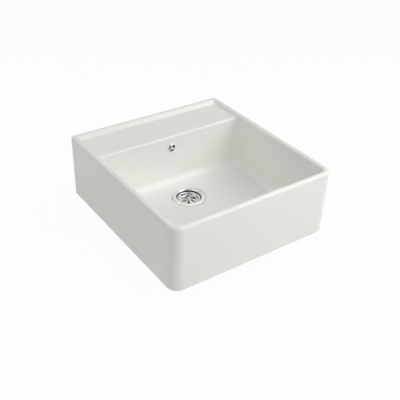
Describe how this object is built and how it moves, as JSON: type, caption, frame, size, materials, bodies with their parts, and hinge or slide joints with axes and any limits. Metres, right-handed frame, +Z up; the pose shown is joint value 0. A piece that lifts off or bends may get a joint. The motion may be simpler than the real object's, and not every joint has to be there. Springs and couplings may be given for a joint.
{
  "type": "farmhouse apron front sink",
  "caption": "Fireclay apron front sink with one deep bowl and a tap ledge, with its overflow and a strainer waste whose basket lifts out.",
  "frame": {"origin": "on the waste's axis, in the plane of the flat underside that stands on the base cabinet", "axes": "+Z up; -Y towards the apron at the front, +Y towards the tap ledge and the wall; +X to the right as seen from the front"},
  "size_m": [0.595, 0.635, 0.3275],
  "materials": {
    "glazed_fireclay": "gloss",
    "polished_steel": "polished",
    "chrome_plate": "polished",
    "plain_steel": "satin",
    "brass_insert": "satin",
    "black_rubber": "matte",
    "moulded_plastic": "satin",
    "hose_plastic": "satin",
    "nut_plastic": "satin"
  },
  "bodies": {
    "sink": {"sink_body": "glazed_fireclay", "strainer_flange": "polished_steel", "flange_seal": "black_rubber", "waste_seal": "black_rubber", "waste_body": "moulded_plastic", "clamp_screw": "plain_steel", "clamp_insert": "brass_insert", "overflow_cover": "chrome_plate", "cover_seal": "black_rubber", "overflow_screw": "chrome_plate", "overflow_elbow": "moulded_plastic", "elbow_seal": "black_rubber", "elbow_insert": "brass_insert", "overflow_hose": "hose_plastic", "elbow_nut": "nut_plastic", "elbow_washer": "black_rubber", "inlet_nut": "nut_plastic", "inlet_washer": "black_rubber"},
    "basket": {"basket_dish": "polished_steel", "basket_knob": "polished_steel", "basket_stem": "plain_steel", "stopper_plate": "plain_steel", "stopper_seal": "black_rubber", "stem_nut": "plain_steel"}
  },
  "joints": [
    {"name": "basket_lift", "type": "slide", "parent": "sink", "child": "basket", "axis": [0, 0, 1], "range_m": [0, 0.26]}
  ]
}
